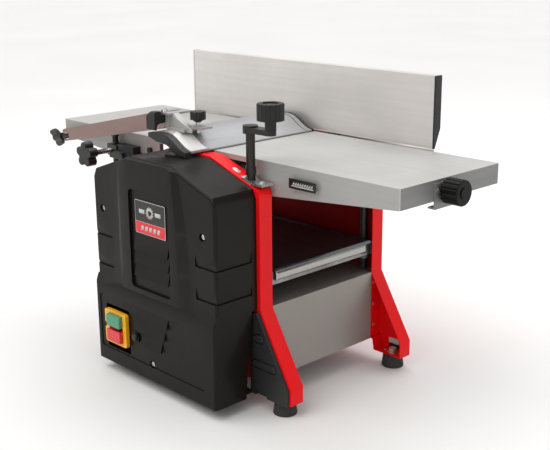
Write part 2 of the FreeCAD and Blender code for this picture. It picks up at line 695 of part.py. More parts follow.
def guard_head():
    """Block on the arm's end: a thin leg in front, and a lower shoulder behind that carries the holder."""
    side = [(-150, 379.2), (-150, 404), (-147.5, 406.5), (-139, 406.5), (-136.5, 404), (-136.5, 401.2),
            (-126.4, 401.2), (-126.4, 390.5), (-136, 389.5), (-144, 387.5), (-146, 384.5), (-146.4, 379.2)]
    block = prism_x(side, -76, -55)
    block = block.cut(prism_y([(-77, 397), (-77, 408), (-64, 408)], -152, -120))
    block = fillet(block, 1.2, lambda e: abs(middle(e).y + 150) < 0.01 and e.Length > 15)
    return join([block, rod_y(HEAD_PIVOT[0], -140, -117.0, HEAD_PIVOT[1], 4.0),
                 rod_y(HEAD_PIVOT[0], -117.9, -114.5, HEAD_PIVOT[1], 6.5)])


def guard_profile(extra):
    """Upper line of the guard from its free left edge over the crest to the toe, lifted by extra."""
    e = extra
    return [(-62, 376.6 + e), (-50, 378.1 + e), (-38, 379.0 + e), (-27, 379.0 + e),
            (-16 + 0.2 * e, 376.8 + e), (-7 + 0.4 * e, 372.2 + e), (1.5 + 0.5 * e, 366.8 + e),
            (10 + 0.4 * e, 362.0 + e), (17 + 0.2 * e, 359.4 + e), (24, 357.8 + e)]


def guard():
    top = guard_profile(0)
    outline = guard_profile(-2.2) + list(reversed(top))
    sheet = prism_y(outline, GUARD_FRONT, GUARD_REAR)
    lip = box(-62, -60, GUARD_FRONT, GUARD_REAR, 367, 376)
    ribs = [box(x - 1, x + 1, GUARD_FRONT, GUARD_REAR, z, z + 4) for x, z in ((-44, 373.2), (-14, 370.4))]
    return join([sheet, lip] + ribs)


def guard_cap_outline(bottom):
    b = bottom
    lower = [(24, b), (2, b), (-3, b + 2.6), (-10, 359.6), (-19, 363.4), (-29, 365.4), (-40, 365.2),
             (-62, 371.0)]
    return guard_profile(0.6) + lower


def guard_caps():
    front = prism_y(guard_cap_outline(351.4), -158.0, GUARD_FRONT - 0.1)
    front = fillet(front, 1.2, lambda e: abs(middle(e).y + 158) < 0.01)
    tab = Part.makeSphere(1.0)
    tab = tab.transformGeometry(FreeCAD.Matrix(12.5, 0, 0, -8.0, 0, 6.5, 0, -158.5, 0, 0, 5.0, 352.0))
    tab = tab.common(box(-40, 20, -170, -150, 351.4, 358))
    front = join([front, tab])
    rear = prism_y(guard_cap_outline(356.0), GUARD_REAR + 0.1, 104.0)
    return group([front, rear])


def guard_holder():
    tab = box(-76, -40, -134, -92, 401.5, 404.3)
    tab = tab.cut(join([box(-61, -55, -119, -103, 400, 415), rod_z(-58, -119, 400, 415, 3),
                        rod_z(-58, -103, 400, 415, 3)]))
    strip = box(-54, -45, -131.0, -129.0, 380.3, 404.3)
    cheek = prism_y([(-54, 401.8), (-54, 380.3), (4, 380.3), (4, 384.8), (-15, 391.5), (-40, 401.8)],
                    -129.1, -127.2)
    ramp = prism_y([(-40.5, 404.3), (-40.5, 401.5), (-12, 384.0), (-6, 384.0)], -127.3, -116.5)
    plate = box(-28, 8, -118, -93, 383.2, 386.2)
    upper = guard_profile(1.9)[2:]
    lower = guard_profile(0.5)[2:]
    saddle = prism_y(lower + list(reversed(upper)), -147.4, -116.5)
    bridge = box(-46, -8, -134, -116.5, 380.3, 384.2)
    nut = join([hex_head(-58, -129.5, 404.2, 408.4, 8.5), rod_z(-58, -129.5, 403.0, 410.4, 2.6)])
    holder = join([tab, strip, cheek, ramp, plate, saddle, bridge, nut])
    return holder.cut(rod_z(-10, -105, 380, 395, 3.58))


def guard_clamp_knob():
    knob = moved(fluted_knob(11.6, 12.0, 8, 3.4, 1.2), -10, -105, 396.0)
    skirt = Part.makeCone(4.3, 9.6, 4.2, V(-10, -105, 392.0))
    stem = rod_z(-10, -105, 376.2, 393, 3.5)
    return join([knob, skirt, stem])


# ---------------------------------------------------------------- cutter and drive

def cutter_slot(width, depth, angle):
    slot = box(CUTTER_R - depth, CUTTER_R + 5, -130, 130, -width / 2, width / 2)
    slot.rotate(V(0, 0, 0), V(0, 1, 0), angle)
    return moved(slot, 0, 0, CUTTER_Z)


def cutter_block():
    block = rod_y(0, -BODY_HALF_LENGTH, BODY_HALF_LENGTH, CUTTER_Z, CUTTER_R)
    for angle in (35, 215):
        block = block.cut(cutter_slot(9.4, 15.0, angle))
    shaft = rod_y(0, -161, 142, CUTTER_Z, 7.5)
    pinion = toothed_wheel(0, CUTTER_Z, PINION_R, 12, 141.5, 149.5, 2.2)
    return join([block, shaft, pinion, cutter_pulley()])


def knife_parts(inner, outer, low, high, y0, y1):
    made = []
    for angle in (35, 215):
        bar = box(inner, outer, y0, y1, low, high)
        bar.rotate(V(0, 0, 0), V(0, 1, 0), angle)
        made.append(moved(bar, 0, 0, CUTTER_Z))
    return made


def knives():
    return group(knife_parts(10.5, KNIFE_TIP_R, 1.6, 4.6, -BODY_HALF_LENGTH + 0.5, BODY_HALF_LENGTH - 0.5))


def knife_wedges():
    made = []
    for angle in (35, 215):
        bar = box(10.5, 22.5, -BODY_HALF_LENGTH + 1.5, BODY_HALF_LENGTH - 1.5, -4.6, 1.5)
        sockets = []
        for i in range(5):
            y = -80 + 40 * i
            sockets.append(Part.makeCylinder(2.0, 8, V(18.5, y, -1.6), V(1, 0, 0)))
        bar = bar.cut(sockets)
        bar.rotate(V(0, 0, 0), V(0, 1, 0), angle)
        made.append(moved(bar, 0, 0, CUTTER_Z))
    return group(made)


def grooved_pulley(x, z, radius, y0, y1):
    pulley = rod_y(x, y0, y1, z, radius)
    rims = [rod_y(x, y0 - 1.6, y0, z, radius + 2.0), rod_y(x, y1, y1 + 1.6, z, radius + 2.0)]
    return join([pulley] + rims)


def cutter_pulley():
    return grooved_pulley(0, CUTTER_Z, CUTTER_PULLEY_R - 0.4, BELT_Y - 8.2, BELT_Y + 8.2)


def cutter_bearings():
    made = []
    for sy in (1, -1):
        y0 = 111.5 if sy > 0 else -122.5
        made.append(rod_y(0, y0, y0 + 11, CUTTER_Z, 17.4).cut(rod_y(0, y0 - 1, y0 + 12, CUTTER_Z, 7.54)))
    return group(made)


def bearing_blocks():
    made = []
    for sy in (1, -1):
        y0 = 104.5 if sy > 0 else -128.9
        y1 = y0 + 24.4
        block = box(-23, 23, y0, y1, 307, 349)
        b0 = 111.4 if sy > 0 else -122.6
        block = block.cut([rod_y(0, y0 - 1, y1 + 1, CUTTER_Z, 9.0), rod_y(0, b0, b0 + 11.2, CUTTER_Z, 17.45)])
        made.append(block)
        for sx in (1, -1):
            side = box(sx * ROLLER_X - 11.5, sx * ROLLER_X + 11.5, y0, y1, 303.5, 334)
            made.append(side.cut(rod_y(sx * ROLLER_X, y0 - 1, y1 + 1, ROLLER_Z, 6.08)))
    return group(made)


def feed_roller(x, ribbed):
    barrel = rod_y(x, -103, 103, ROLLER_Z, ROLLER_R)
    if ribbed:
        cuts = []
        for i in range(18):
            a = 2 * math.pi * i / 18
            reach = ROLLER_R + 0.5
            cuts.append(rod_y(x + reach * math.cos(a), -104, 104, ROLLER_Z + reach * math.sin(a), 1.3))
        barrel = barrel.cut(cuts)
    shaft = rod_y(x, -127, 140.5, ROLLER_Z, 6.0)
    sprocket = toothed_wheel(x, ROLLER_Z, SPROCKET_R, 24, 134.5, 138.5, 3.0)
    return join([barrel, shaft, sprocket])


def feed_gear(place, large_y, small_y, small_r, small_teeth):
    x, z = place
    low = min(large_y, small_y) - 0.6
    high = max(large_y, small_y) + 7.2
    parts = [toothed_wheel(x, z, GEAR_R, 39, large_y, large_y + 6.6, 2.2),
             toothed_wheel(x, z, small_r, small_teeth, small_y, small_y + 6.6, 2.2),
             rod_y(x, low, high, z, 5.6)]
    return join(parts).cut(rod_y(x, low - 1, high + 1, z, 3.98))


def feed_gear_3():
    x, z = GEAR_3
    parts = [toothed_wheel(x, z, GEAR_R, 39, 160.0, 166.6, 2.2),
             toothed_wheel(x, z, DRIVE_SPROCKET_R, 10, 134.5, 138.5, 3.0), rod_y(x, 133, 167.2, z, 5.6)]
    return join(parts).cut(rod_y(x, 130, 170, z, 3.98))


def feed_chain():
    circles = [(GEAR_3[0], GEAR_3[1], DRIVE_SPROCKET_R), (ROLLER_X, ROLLER_Z, SPROCKET_R),
               (-ROLLER_X, ROLLER_Z, SPROCKET_R)]
    return loop_band(circles, 0.2, 3.6, 133.6, 139.4)


def drive_belt():
    circles = [(0, MOTOR_Z, MOTOR_PULLEY_R), (0, CUTTER_Z, CUTTER_PULLEY_R)]
    return loop_band(circles, 0.1, 2.6, BELT_Y - 7.6, BELT_Y + 7.6)


def motor_body():
    can = rod_y(0, -96, 60, MOTOR_Z, 44)
    can = join([can, rod_y(0, -104, -96, MOTOR_Z, 34), rod_y(0, 60, 70, MOTOR_Z, 36)])
    fins = [box(-45.5, 45.5, -80 + 14 * i, -76 + 14 * i, MOTOR_Z - 6, MOTOR_Z + 6) for i in range(9)]
    cradle = [box(-34, 34, y, y + 12, 41.1, 66) for y in (-70, 28)]
    body = join([can] + fins + cradle)
    cavity = join([rod_y(0, -88, 58, MOTOR_Z, 31), rod_y(0, -110, 75, MOTOR_Z, 6.08)])
    vents = [box(-20, 20, 62, 72, MOTOR_Z - 26 + 13 * i, MOTOR_Z - 21 + 13 * i) for i in range(5)]
    return body.cut([cavity] + vents)


def motor_rotor():
    core = rod_y(0, -66, 30, MOTOR_Z, 28)
    slots = []
    for i in range(12):
        a = 2 * math.pi * i / 12
        slots.append(rod_y(28 * math.cos(a), -67, 31, MOTOR_Z + 28 * math.sin(a), 2.0))
    core = core.cut(slots)
    shaft = rod_y(0, -162, 66, MOTOR_Z, 6.0)
    fan = [rod_y(0, 40, 43, MOTOR_Z, 27)]
    for i in range(8):
        blade = box(8, 26, 42, 52, -1, 1)
        blade.rotate(V(0, 0, 0), V(0, 1, 0), 45 * i)
        fan.append(moved(blade, 0, 0, MOTOR_Z))
    pulley = grooved_pulley(0, MOTOR_Z, MOTOR_PULLEY_R - 0.4, BELT_Y - 8.2, BELT_Y + 8.2)
    return join([core, shaft, pulley] + fan)


def kickback_pawls():
    made = []
    for i in range(15):
        y = -91 + 13 * i
        ring = rod_y(-97.0, y - 4.5, y + 4.5, 324.5, 6.5)
        blade = prism_y([(-101.5, 322), (-92, 323), (-86.6, 301.2), (-89.4, 300.4), (-92.5, 302.6)],
                        y - 4.5, y + 4.5)
        made.append(join([ring, blade]).cut(rod_y(-97.0, y - 6, y + 6, 324.5, 3.56)))
    return group(made)


# ---------------------------------------------------------------- thickness bed

def bed():
    top = BED_TOP - 1.6
    plate = box(-BED_X, BED_X, -BED_Y, BED_Y, 176, top)
    pockets = []
    for ix in range(4):
        for iy in range(3):
            x0 = -133 + 67.5 * ix
            y0 = -96 + 65 * iy
            pockets.append(box(x0, x0 + 61.5, y0, y0 + 59, 170, top - 7))
    plate = plate.cut(pockets)
    parts = [plate]
    for sx in (1, -1):
        for sy in (1, -1):
            lug = box(104, 132, 98, 128.4, 172, 190)
            tower = rod_z(SCREW_X, SCREW_Y, 163, 190, 8.2)
            lug = join([lug, tower])
            if sx < 0:
                lug = mirror_x(lug)
            if sy < 0:
                lug = mirror_y(lug)
            parts.append(lug)
    casting = join(parts)
    bores = [rod_z(sx * SCREW_X, sy * SCREW_Y, 150, 200, SCREW_R + 0.08) for sx in (1, -1) for sy in (1, -1)]
    return casting.cut(bores)


def bed_plate():
    """Polished steel skin with a rounded nose bar at each end."""
    skin = box(-BED_X - 2, BED_X + 2, -BED_Y, BED_Y, BED_TOP - 1.5, BED_TOP)
    strips = [box(-128, 128, y, y + 2, BED_TOP, BED_TOP + 1.0) for y in (-95, 93)]
    parts = [skin] + strips
    for sx in (1, -1):
        lip = prism_y([(BED_X + 0.1, 196.5), (BED_X + 0.1, BED_TOP), (BED_X + 5, BED_TOP),
                       (BED_X + 7.4, 198.6), (BED_X + 7.4, 196.5)], -BED_Y, BED_Y)
        bar = box(BED_X + 0.1, BED_X + 8.6, -BED_Y + 2, BED_Y - 11, 184.0, 196.6)
        bar = fillet(bar, 3.6, lambda e: abs(middle(e).x - BED_X - 8.6) < 0.01)
        end = join([lip, bar])
        parts.append(end if sx > 0 else mirror_x(end))
    return join(parts)


def lift_screw(sx, sy, top):
    x = sx * SCREW_X
    y = sy * SCREW_Y
    rod = rod_z(x, y, 132, top, SCREW_R)
    wheel = Part.makeCylinder(6.9, 5.6, V(x, y, CHAIN_Z - 2.8))
    teeth = []
    for i in range(9):
        a = 2 * math.pi * i / 9
        teeth.append(rod_z(x + 7.2 * math.cos(a), y + 7.2 * math.sin(a), CHAIN_Z - 4, CHAIN_Z + 4, 1.0))
    wheel = wheel.cut(teeth)
    rod = join([rod, wheel])
    return fillet(rod, 0.8, lambda e: abs(middle(e).z - top) < 0.01 and e.Length > 30)


def crank_screw():
    """Front infeed screw, carried up as a tube that the lifting crank sits on."""
    screw = lift_screw(1, -1, 340)
    tube = rod_z(CRANK_X, CRANK_Y, 331.5, 400.0, 6.4)
    collar = rod_z(CRANK_X, CRANK_Y, 336.4, 347, 7.4)
    return join([screw, tube, collar])


def crank_arm():
    x, y = CRANK_X, CRANK_Y
    boss = rod_z(x, y, 394, 405, 10.5)
    arm = prism_z([(x, y - 9), (x + 40, y - 7.6), (x + 40, y + 7.6), (x, y + 9)], 395.5, 403)
    tip = rod_z(x + 40, y, 395.5, 403, 7.6)
    pin = rod_z(x + 40, y, 402, 430, 4.0)
    return join([boss, arm, tip, pin]).cut(rod_z(x, y, 390, 400.1, 6.46))


def crank_knob():
    x = CRANK_X + 40
    knob = moved(fluted_knob(18.6, 23, 18, 2.4, 1.2), x, CRANK_Y, 416)
    skirt = rod_z(x, CRANK_Y, 403.5, 417, 7.8)
    knob = join([knob, skirt])
    return knob.cut([rod_z(x, CRANK_Y, 403, 431, 4.08), rod_z(x, CRANK_Y, 437.4, 445, 11)])


def lift_chain():
    def filled(margin, half_height):
        x = SCREW_X
        y = SCREW_Y
        z0 = CHAIN_Z - half_height
        z1 = CHAIN_Z + half_height
        corners = [rod_z(sx * x, sy * y, z0, z1, margin) for sx in (1, -1) for sy in (1, -1)]
        return join([box(-x, x, -y - margin, y + margin, z0, z1),
                     box(-x - margin, x + margin, -y, y, z0, z1)] + corners)

    return filled(8.9, 2.2).cut(filled(7.1, 4.0))


def screw_plates():
    """Bearing plates for the screw tops; the infeed front one shows under the crank."""
    made = []
    for sx in (1, -1):
        for sy in (1, -1):
            plate = box(103, 144.6, 108.8, 128.9, 296, 300)
            plate = plate.cut(rod_z(SCREW_X, SCREW_Y, 290, 310, SCREW_R + 0.08))
            if sx < 0:
                plate = mirror_x(plate)
            if sy < 0:
                plate = mirror_y(plate)
            made.append(plate)
    top = prism_y([(109, 333.83), (109, 330.8), (127, 324.56), (150.5, 324.56), (150.5, 327.6), (128, 327.6)],
                  -129.5, -109.0)
    top = top.cut(rod_z(CRANK_X, CRANK_Y, 300, 340, 6.9))
    screw = rod_z(140, -119.3, 327.6, 330.2, 3.6)
    made.append(join([top, screw]))
    return group(made)


NODES = {
    "side_panel_front": side_panel(False),
    "side_panel_rear": side_panel(True),
    "base_tray": base_tray(),
    "feet": feet(),
    "motor_cover": motor_cover(),
    "cover_badge": cover_badge(),
    "leg_covers": leg_covers(),
    "rear_cover": rear_cover(),
    "switch_body": switch_body(),
    "switch_frame": switch_frame(),
    "start_button": button(84.0, 103.0),
    "stop_button": button(60.0, 79.0),
    "reset_button": reset_button(),
    "cable_gland": cable_gland(),
    "pins_and_bolts": pins_and_bolts(),
    "outfeed_table": outfeed_table(),
    "infeed_table": infeed_table(),
    "infeed_bracket": infeed_bracket(),
    "depth_knob": depth_knob(),
    "depth_crossbar": depth_crossbar(),
    "fence": fence(),
    "fence_caps": fence_caps(),
    "fence_bracket": fence_bracket(),
    "fence_quadrant": fence_quadrant(),
    "fence_lock_lever": fence_lock_lever(),
    "guard_bracket": guard_bracket(),
    "guard_post": guard_post(),
    "guard_arm": guard_arm(),
    "arm_lock_knob": arm_lock_knob(),
    "post_lock_knob": post_lock_knob(),
    "guard_head": guard_head(),
    "guard_holder": guard_holder(),
    "guard": guard(),
    "guard_caps": guard_caps(),
    "guard_clamp_knob": guard_clamp_knob(),
    "cutter_block": cutter_block(),
    "knives": knives(),
    "knife_wedges": knife_wedges(),
    "cutter_bearings": cutter_bearings(),
    "bearing_blocks": bearing_blocks(),
    "feed_roller_in": feed_roller(-ROLLER_X, True),
    "feed_roller_out": feed_roller(ROLLER_X, False),
    "feed_gear_1": feed_gear(GEAR_1, 142.0, 151.0, PINION_R, 12),
    "feed_gear_2": feed_gear(GEAR_2, 151.0, 160.0, PINION_R, 12),
    "feed_gear_3": feed_gear_3(),
    "feed_chain": feed_chain(),
    "drive_belt": drive_belt(),
    "motor_body": motor_body(),
    "motor_rotor": motor_rotor(),
    "kickback_pawls": kickback_pawls(),
    "bed": bed(),
    "bed_plate": bed_plate(),
    "crank_screw": crank_screw(),
    "crank_arm": crank_arm(),
    "lift_screw_2": lift_screw(1, 1, 318),
    "lift_screw_3": lift_screw(-1, -1, 318),
    "lift_screw_4": lift_screw(-1, 1, 318),
    "crank_knob": crank_knob(),
    "lift_chain": lift_chain(),
    "screw_plates": screw_plates(),
}

os.makedirs("parts", exist_ok=True)
for name, shape in NODES.items():
    shape.exportStep("parts/" + name + ".step")
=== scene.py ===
import math

import bmesh
import bpy
from mathutils import Matrix, Vector


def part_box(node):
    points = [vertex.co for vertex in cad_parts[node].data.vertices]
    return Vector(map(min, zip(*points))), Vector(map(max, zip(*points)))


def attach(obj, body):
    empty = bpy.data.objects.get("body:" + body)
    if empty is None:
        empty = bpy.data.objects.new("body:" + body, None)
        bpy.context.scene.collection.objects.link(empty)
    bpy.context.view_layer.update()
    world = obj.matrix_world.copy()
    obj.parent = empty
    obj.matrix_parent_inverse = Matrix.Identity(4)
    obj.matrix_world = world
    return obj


MM = 0.001
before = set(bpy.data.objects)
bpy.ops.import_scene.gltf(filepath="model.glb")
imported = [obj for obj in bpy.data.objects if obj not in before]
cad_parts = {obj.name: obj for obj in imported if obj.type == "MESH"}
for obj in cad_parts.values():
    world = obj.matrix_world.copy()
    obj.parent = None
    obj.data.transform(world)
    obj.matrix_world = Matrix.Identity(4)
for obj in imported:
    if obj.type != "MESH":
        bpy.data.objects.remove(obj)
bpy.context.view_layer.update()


# ---------------------------------------------------------------- materials

class Look:
    """One procedural material, laid out on the object's own coordinates in metres."""

    COAT_ROUGHNESS = 0.12
    MIX_COLOR_A, MIX_COLOR_B, MIX_COLOR_RESULT = 6, 7, 2

    def __init__(self, name, metallic=0.0, coat=0.0, gloss=0.5):
        self.material = bpy.data.materials.new(name)
        self.material.use_nodes = True
        self.tree = self.material.node_tree
        self.shader = self.tree.nodes["Principled BSDF"]
        self.shader.inputs["Metallic"].default_value = metallic
        self.shader.inputs["Coat Weight"].default_value = coat
        self.shader.inputs["Coat Roughness"].default_value = self.COAT_ROUGHNESS
        self.shader.inputs["Specular IOR Level"].default_value = gloss
        self.place = self.node("ShaderNodeTexCoord").outputs["Object"]
        self.normal = None

    def node(self, kind, **settings):
        made = self.tree.nodes.new(kind)
        for key, value in settings.items():
            setattr(made, key, value)
        return made

    def link(self, out, into):
        self.tree.links.new(out, into)

    def stretched(self, stretch):
        """The object's coordinates, scaled axis by axis."""
        if stretch == (1, 1, 1):
            return self.place
        mapping = self.node("ShaderNodeMapping")
        mapping.inputs["Scale"].default_value = stretch
        self.link(self.place, mapping.inputs["Vector"])
        return mapping.outputs["Vector"]

    def noise(self, scale, detail=3.0, rough=0.55, stretch=(1, 1, 1), low=0.35, high=0.65):
        """Noise with features of about 1/scale metres, spread to 0..1 between low and high."""
        noise = self.node("ShaderNodeTexNoise")
        noise.inputs["Scale"].default_value = scale
        noise.inputs["Detail"].default_value = detail
        noise.inputs["Roughness"].default_value = rough
        self.link(self.stretched(stretch), noise.inputs["Vector"])
        return self.spread(noise.outputs["Fac"], low, high)

    def spread(self, value, low, high, to_low=0.0, to_high=1.0):
        """Map low..high of a value to to_low..to_high."""
        ramp = self.node("ShaderNodeMapRange")
        ramp.inputs["From Min"].default_value = low
        ramp.inputs["From Max"].default_value = high
        ramp.inputs["To Min"].default_value = to_low
        ramp.inputs["To Max"].default_value = to_high
        self.link(value, ramp.inputs["Value"])
        return ramp.outputs["Result"]

    def blend(self, factor, first, second):
        """Colour that goes from first to second; each is a colour or another node's output."""
        mix = self.node("ShaderNodeMix", data_type="RGBA")
        self.link(factor, mix.inputs["Factor"])
        for value, index in ((first, self.MIX_COLOR_A), (second, self.MIX_COLOR_B)):
            socket = mix.inputs[index]
            if isinstance(value, (tuple, list)):
                socket.default_value = (*value[:3], 1.0)
            else:
                self.link(value, socket)
        return mix.outputs[self.MIX_COLOR_RESULT]

    def color(self, value):
        self.link(value, self.shader.inputs["Base Color"])

    def roughness(self, factor, low, high):
        self.link(self.spread(factor, 0.0, 1.0, low, high), self.shader.inputs["Roughness"])

    def bump(self, height, depth, strength):
        bump = self.node("ShaderNodeBump")
        bump.inputs["Distance"].default_value = depth
        bump.inputs["Strength"].default_value = strength
        self.link(height, bump.inputs["Height"])
        if self.normal is not None:
            self.link(self.normal, bump.inputs["Normal"])
        self.normal = bump.outputs["Normal"]
        self.link(self.normal, self.shader.inputs["Normal"])

    def maths(self, operation, first, second):
        made = self.node("ShaderNodeMath", operation=operation)
        for value, socket in ((first, made.inputs[0]), (second, made.inputs[1])):
            if isinstance(value, (int, float)):
                socket.default_value = value
            else:
                self.link(value, socket)
        return made.outputs[0]


def scaled(color, k):
    return tuple(c * k for c in color)


def drawn_out(along, slow, fast):
    """Noise frequencies of a pattern drawn out along one axis: slow along it, fast across it."""
    return tuple(slow if axis == along else fast for axis in "XYZ")


def brushed(name, color, along, metallic, rough, depth=0.00002, stain=0.10):
    """Metal with fine grinding lines and broader bands along one axis, and soft cloudy stains."""
    look = Look(name, metallic)
    lines = look.noise(1.0, 4.0, 0.6, drawn_out(along, 14.0, 900.0), 0.3, 0.7)
    bands = look.noise(1.0, 3.0, 0.5, drawn_out(along, 5.0, 160.0))
    clouds = look.noise(9.0, 4.0, 0.6, low=0.3, high=0.7)
    tone = look.blend(clouds, scaled(color, 1.0 - stain), scaled(color, 1.0 + stain * 0.4))
    tone = look.blend(look.spread(bands, 0, 1, 0.0, 0.35), tone, scaled(color, 0.86))
    look.color(tone)
    half_bands = look.maths("MULTIPLY", bands, 0.5)
    half_clouds = look.maths("MULTIPLY", clouds, 0.5)
    look.roughness(look.maths("ADD", half_bands, half_clouds), *rough)
    look.bump(lines, depth, 0.5)
    return look.material


def paint(name, color, rough, coat, metallic=0.0, peel=0.00008, gloss=0.4):
    """Powder coat: orange-peel surface, slight tone change, faint handling marks."""
    look = Look(name, metallic, coat, gloss)
    clouds = look.noise(9.0, 3.0, 0.5, low=0.25, high=0.75)
    look.color(look.blend(clouds, scaled(color, 0.92), scaled(color, 1.05)))
    marks = look.noise(60.0, 5.0, 0.7, (1, 1, 3), 0.45, 0.75)
    look.roughness(marks, *rough)
    look.bump(look.noise(700.0, 2.0, 0.5), peel, 0.25)
    return look.material


DUST_TONE = 0.30


def plastic(name, color, rough, grain=2600.0, depth=0.00005, dust=0.04, coat=0.0, gloss=0.4):
    """Moulded plastic with a fine spark-eroded grain, and a little dust in the tone."""
    look = Look(name, 0.0, coat, gloss)
    clouds = look.noise(7.0, 3.0, 0.5, low=0.25, high=0.75)
    fine = look.noise(grain, 2.0, 0.5)
    dusty = tuple(c + (DUST_TONE - c) * dust for c in color)
    tone = look.blend(clouds, scaled(color, 0.90), scaled(color, 1.06))
    specks = look.noise(420.0, 3.0, 0.6, low=0.58, high=0.80)
    look.color(look.blend(look.spread(specks, 0, 1, 0.0, 0.5), tone, dusty))
    look.roughness(look.noise(60.0, 4.0, 0.6, low=0.3, high=0.7), *rough)
    look.bump(fine, depth, 0.45)
    return look.material


def steel(name, color, rough=(0.22, 0.38)):
    """Plain machined or plated steel with faint patches and handling marks."""
    look = Look(name, 1.0)
    clouds = look.noise(40.0, 4.0, 0.6)
    look.color(look.blend(clouds, scaled(color, 0.85), scaled(color, 1.05)))
    look.roughness(look.noise(70.0, 4.0, 0.65), *rough)
    look.bump(look.noise(500.0, 3.0, 0.6), 0.00003, 0.35)
    return look.material


# Metres between the bands of a wave texture at scale 1.
WAVE_PERIOD = 0.3142


def threaded(name, color, pitch):
    """Steel screw whose thread shows as fine rings of the given pitch, in metres: painted shade
    darkens the rings' hollows, and a bump shapes them.
    """
    look = Look(name, 1.0)
    clouds = look.noise(60.0, 4.0, 0.6)
    wave = look.node("ShaderNodeTexWave", wave_type="BANDS", bands_direction="Z",
                     wave_profile="TRI")
    wave.inputs["Scale"].default_value = WAVE_PERIOD / pitch
    look.link(look.place, wave.inputs["Vector"])
    groove = look.spread(wave.outputs["Fac"], 0.0, 0.8)
    tone = look.blend(clouds, scaled(color, 0.7), color)
    # Painted shade: the thread's hollows are darkened to a quarter of the steel's colour.
    look.color(look.blend(groove, scaled(color, 0.25), tone))
    look.roughness(clouds, 0.30, 0.48)
    look.bump(groove, 0.0006, 0.9)
    return look.material


def cast(name, color, metallic):
    """Cast metal with a coarse skin."""
    look = Look(name, metallic)
    clouds = look.noise(25.0, 4.0, 0.6)
    look.color(look.blend(clouds, scaled(color, 0.75), scaled(color, 1.1)))
    look.roughness(look.noise(120.0, 4.0, 0.6), 0.5, 0.7)
    look.bump(look.noise(900.0, 4.0, 0.65), 0.00025, 0.5)
    return look.material


def rubber(name, color):
    """Matt rubber with a fine grain."""
    look = Look(name)
    clouds = look.noise(60.0, 4.0, 0.6)
    look.color(look.blend(clouds, color, tuple(c + 0.018 for c in color)))
    look.roughness(clouds, 0.62, 0.82)
    look.bump(look.noise(1800.0, 3.0, 0.6), 0.00008, 0.5)
    return look.material


table_look = brushed("table_ground_aluminium", (0.47, 0.465, 0.455), "X", 0.3, (0.46, 0.58))
# Darker copy of the table's aluminium for its long sides: painted shade, as these faces get less
# light than the top.
shaded_side_look = brushed("table_side_painted_shade", (0.385, 0.378, 0.365), "X", 0.3, (0.46, 0.58))
# Darker copy for the table ends: painted shade, as little light comes from that side. It is also
# the infeed bracket's own colour.
shaded_end_and_bracket_look = brushed("table_end_painted_shade_and_bracket", (0.245, 0.245, 0.24), "Y", 0.4, (0.44, 0.56))
fence_look = brushed("fence_brushed_aluminium", (0.74, 0.715, 0.69), "X", 0.65, (0.36, 0.50))
guard_look = brushed("guard_anodised", (0.35, 0.355, 0.365), "Y", 0.45, (0.38, 0.50),
                     0.000015, 0.05)
arm_look = brushed("arm_anodised", (0.28, 0.19, 0.175), "X", 0.8, (0.26, 0.38), 0.000015, 0.06)
saddle_look = brushed("saddle_satin_aluminium", (0.42, 0.412, 0.402), "X", 0.5, (0.40, 0.52),
                      0.00001, 0.05)
strip_look = brushed("saddle_bright_aluminium", (0.66, 0.655, 0.645), "X", 0.3, (0.40, 0.52),
                     0.00001, 0.05)
# Polished steel darkened far below bare steel: a painted reflection of the dark underside of the
# tables and rollers.
bed_dark_reflection_look = brushed("bed_steel_painted_reflection", (0.050, 0.054, 0.060), "X", 0.6, (0.26, 0.40),
                   0.00001, 0.15)
lip_look = brushed("bed_lip_steel", (0.16, 0.165, 0.175), "Y", 1.0, (0.22, 0.34), 0.00001, 0.12)
bar_look = brushed("nose_bar_steel", (0.40, 0.385, 0.365), "Y", 1.0, (0.16, 0.28), 0.00001, 0.08)
red_look = paint("red_powder_coat", (0.84, 0.005, 0.008), (0.34, 0.46), 0.04, gloss=0.16)
# Darker copy of the red paint for the rear panel's inner wall: painted shade.
red_shade_inside_look = paint("red_unlit_inside", (0.26, 0.002, 0.003), (0.42, 0.54), 0.02, gloss=0.10)
base_look = paint("grey_satin_paint", (0.31, 0.285, 0.265), (0.36, 0.50), 0.05, 0.3, 0.00005)
cover_look = plastic("cover_grained_plastic", (0.0072, 0.0052, 0.0040), (0.38, 0.48),
                     dust=0.006, coat=0.12, gloss=0.11)
trim_look = plastic("trim_grained_plastic", (0.020, 0.020, 0.0205), (0.42, 0.55),
                    coat=0.10, gloss=0.3)
knob_look = plastic("knob_plastic", (0.008, 0.0085, 0.008), (0.34, 0.50), 3200.0)
depth_knob_look = plastic("depth_knob_plastic", (0.004, 0.004, 0.0038), (0.26, 0.38), 3200.0,
                          dust=0.01, gloss=0.12)
black_look = paint("black_coated_steel", (0.010, 0.010, 0.011), (0.34, 0.48), 0.05)
crank_look = paint("crank_burnished_steel", (0.030, 0.027, 0.024), (0.30, 0.46), 0.05, 0.6)
plated_look = steel("zinc_plated_steel", (0.74, 0.73, 0.70))
ground_look = steel("ground_steel", (0.66, 0.66, 0.66), (0.16, 0.30))
gear_look = steel("oiled_steel", (0.22, 0.22, 0.22), (0.26, 0.44))
screw_look = threaded("lift_screw_steel", (0.20, 0.20, 0.20), 0.002)
cast_look = cast("cast_aluminium", (0.36, 0.36, 0.36), 0.7)
iron_look = cast("motor_cast_iron", (0.05, 0.05, 0.055), 0.3)
rubber_look = rubber("foot_rubber", (0.010, 0.010, 0.010))

